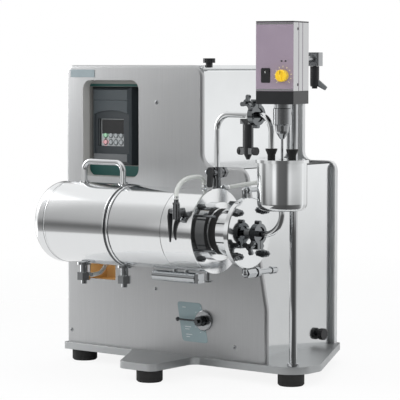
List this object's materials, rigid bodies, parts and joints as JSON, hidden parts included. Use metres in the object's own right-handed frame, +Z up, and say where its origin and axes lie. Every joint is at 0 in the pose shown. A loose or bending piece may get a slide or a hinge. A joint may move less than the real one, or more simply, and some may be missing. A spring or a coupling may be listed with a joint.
{
  "type": "laboratory bead mill",
  "caption": "Horizontal laboratory bead mill on a plate with feet: motor barrel, jacketed chamber, feed vessel with overhead stirrer, looped process pipe and steel cabinet.",
  "frame": {"origin": "under the middle of the whole machine, on the surface it stands on", "axes": "+X along the barrel towards the chamber and the vessel, +Y to the back of the cabinet, +Z up"},
  "size_m": [0.718, 0.5666, 0.725],
  "materials": {
    "satin_plate": "satin milled",
    "black_rubber": "matt",
    "brushed_sheet": "vertical brushed grain",
    "polished_sheet": "mirror polished",
    "polished_steel": "polished",
    "turned_steel": "fine turned",
    "machine_steel": "ground",
    "black_plastic": "fine texture",
    "charcoal_plastic": "fine texture",
    "teal_sheet": "satin",
    "copper_brown": "satin",
    "keypad_grey": "membrane",
    "key_grey": "satin",
    "key_green": "satin",
    "key_red": "satin",
    "laminated_steel": "laminated",
    "seal_grey": "smooth",
    "clear_hose": "translucent",
    "mauve_panel": "satin",
    "yellow_plastic": "gloss",
    "chuck_steel": "ground"
  },
  "bodies": {
    "base": {"back_plate": "polished_sheet", "bail_handle": "polished_steel", "barrel_bracket": "turned_steel", "base_plate": "satin_plate", "bearing_housing": "turned_steel", "cabinet_body": "polished_sheet", "coolant_fittings": "polished_steel", "drive_bezel": "teal_sheet", "drive_housing": "charcoal_plastic", "end_flange": "turned_steel", "feed_hose": "clear_hose", "flange_nuts": "polished_steel", "flush_hose": "clear_hose", "front_panel": "brushed_sheet", "grinding_chamber": "turned_steel", "keypad_plate": "keypad_grey", "motor_cover": "polished_sheet", "motor_stator": "laminated_steel", "pipe_clamps": "polished_steel", "process_pipes": "polished_steel", "rubber_feet": "black_rubber", "sampling_valve": "black_plastic", "seal_flange": "turned_steel", "selector_bezel": "polished_steel", "separation_screen": "machine_steel", "shaft_seals": "seal_grey", "slot_tray": "copper_brown", "stand_rod": "polished_steel", "top_lid": "polished_sheet", "valve_bodies": "turned_steel", "vent_hose": "clear_hose", "vessel": "polished_steel", "vessel_bungs": "black_rubber", "vessel_lid": "polished_steel"},
    "lid_knob": {"lid_knob": "black_plastic"},
    "wall_knob": {"wall_knob": "black_plastic"},
    "selector": {"selector_knob": "machine_steel"},
    "rotor": {"rotor_shaft": "machine_steel", "shaft_bearings": "machine_steel", "agitator": "machine_steel"},
    "riser_valve": {"riser_valve_lever": "black_plastic"},
    "mini_valve": {"mini_valve_lever": "black_plastic"},
    "return_nut": {"return_clamp_nut": "polished_steel"},
    "inlet_nut": {"inlet_clamp_nut": "polished_steel"},
    "sampling_spindle": {"sampling_knob": "black_plastic"},
    "stirrer_head": {"boss_head": "turned_steel", "stirrer_housing": "mauve_panel", "stirrer_caps": "black_plastic"},
    "boss_screw": {"boss_lever": "black_plastic"},
    "stirrer_rocker": {"stirrer_switch": "black_plastic"},
    "speed_knob": {"stirrer_speed_knob": "yellow_plastic"},
    "stirrer_rotor": {"stirrer_spindle": "chuck_steel"},
    "key_1_1": {"key_1_1": "key_red"},
    "key_1_2": {"key_1_2": "key_green"},
    "key_2_1": {"key_2_1": "key_grey"},
    "key_2_2": {"key_2_2": "key_grey"},
    "key_3_1": {"key_3_1": "key_grey"},
    "key_3_2": {"key_3_2": "key_grey"},
    "key_4_1": {"key_4_1": "key_grey"},
    "key_4_2": {"key_4_2": "key_grey"}
  },
  "joints": [
    {"name": "lid_knob_turn", "type": "hinge", "parent": "base", "child": "lid_knob", "pos_m": [0.015, -0.04075, 0.637], "axis": [0, 0, 1], "continuous": true},
    {"name": "wall_knob_turn", "type": "hinge", "parent": "base", "child": "wall_knob", "pos_m": [0.111, 0.21925, 0.065], "axis": [1, 0, 0], "continuous": true},
    {"name": "selector_turn", "type": "hinge", "parent": "base", "child": "selector", "pos_m": [0.023, -0.06675, 0.116], "axis": [0, -1, 0], "range_deg": [-90, 90]},
    {"name": "rotor_spin", "type": "hinge", "parent": "base", "child": "rotor", "pos_m": [0.181, -0.18675, 0.316], "axis": [1, 0, 0], "continuous": true},
    {"name": "riser_valve_turn", "type": "hinge", "parent": "base", "child": "riser_valve", "pos_m": [0.141, -0.17625, 0.431], "axis": [0, -1, 0], "range_deg": [0, 90]},
    {"name": "mini_valve_turn", "type": "hinge", "parent": "base", "child": "mini_valve", "pos_m": [0.118, -0.27575, 0.358], "axis": [-1, 0, 0], "range_deg": [0, 90]},
    {"name": "return_nut_turn", "type": "hinge", "parent": "base", "child": "return_nut", "pos_m": [0.243, -0.18387, 0.57], "axis": [-0.0745, -0.9972, 0], "continuous": true},
    {"name": "inlet_nut_turn", "type": "hinge", "parent": "base", "child": "inlet_nut", "pos_m": [0.25, -0.18675, 0.292], "axis": [0, -1, 0], "continuous": true},
    {"name": "sampling_turn", "type": "hinge", "parent": "base", "child": "sampling_spindle", "pos_m": [0.222, -0.1823, 0.4755], "axis": [0.9972, -0.0745, 0], "continuous": true},
    {"name": "stirrer_height", "type": "slide", "parent": "base", "child": "stirrer_head", "axis": [0, 0, 1], "range_m": [-0.008, 0.04]},
    {"name": "boss_lever_turn", "type": "hinge", "parent": "stirrer_head", "child": "boss_screw", "pos_m": [0.28195, -0.04384, 0.64], "axis": [0, 0, 1], "continuous": true},
    {"name": "stirrer_switch_rock", "type": "hinge", "parent": "stirrer_head", "child": "stirrer_rocker", "pos_m": [0.29773, -0.22651, 0.6225], "axis": [0.9724, 0.2334, 0], "range_deg": [-16, 0]},
    {"name": "stirrer_speed_turn", "type": "hinge", "parent": "stirrer_head", "child": "speed_knob", "pos_m": [0.33278, -0.22046, 0.622], "axis": [0.2334, -0.9724, 0], "range_deg": [0, 270]},
    {"name": "stirrer_spin", "type": "hinge", "parent": "stirrer_head", "child": "stirrer_rotor", "pos_m": [0.307, -0.18675, 0.54], "axis": [0, 0, 1], "continuous": true},
    {"name": "key_1_1_press", "type": "slide", "parent": "base", "child": "key_1_1", "axis": [0, 1, 0], "range_m": [0, 0.0012], "stiffness_N_per_m": 600, "springref_m": -0.0003},
    {"name": "key_1_2_press", "type": "slide", "parent": "base", "child": "key_1_2", "axis": [0, 1, 0], "range_m": [0, 0.0012], "stiffness_N_per_m": 600, "springref_m": -0.0003},
    {"name": "key_2_1_press", "type": "slide", "parent": "base", "child": "key_2_1", "axis": [0, 1, 0], "range_m": [0, 0.0012], "stiffness_N_per_m": 600, "springref_m": -0.0003},
    {"name": "key_2_2_press", "type": "slide", "parent": "base", "child": "key_2_2", "axis": [0, 1, 0], "range_m": [0, 0.0012], "stiffness_N_per_m": 600, "springref_m": -0.0003},
    {"name": "key_3_1_press", "type": "slide", "parent": "base", "child": "key_3_1", "axis": [0, 1, 0], "range_m": [0, 0.0012], "stiffness_N_per_m": 600, "springref_m": -0.0003},
    {"name": "key_3_2_press", "type": "slide", "parent": "base", "child": "key_3_2", "axis": [0, 1, 0], "range_m": [0, 0.0012], "stiffness_N_per_m": 600, "springref_m": -0.0003},
    {"name": "key_4_1_press", "type": "slide", "parent": "base", "child": "key_4_1", "axis": [0, 1, 0], "range_m": [0, 0.0012], "stiffness_N_per_m": 600, "springref_m": -0.0003},
    {"name": "key_4_2_press", "type": "slide", "parent": "base", "child": "key_4_2", "axis": [0, 1, 0], "range_m": [0, 0.0012], "stiffness_N_per_m": 600, "springref_m": -0.0003}
  ]
}
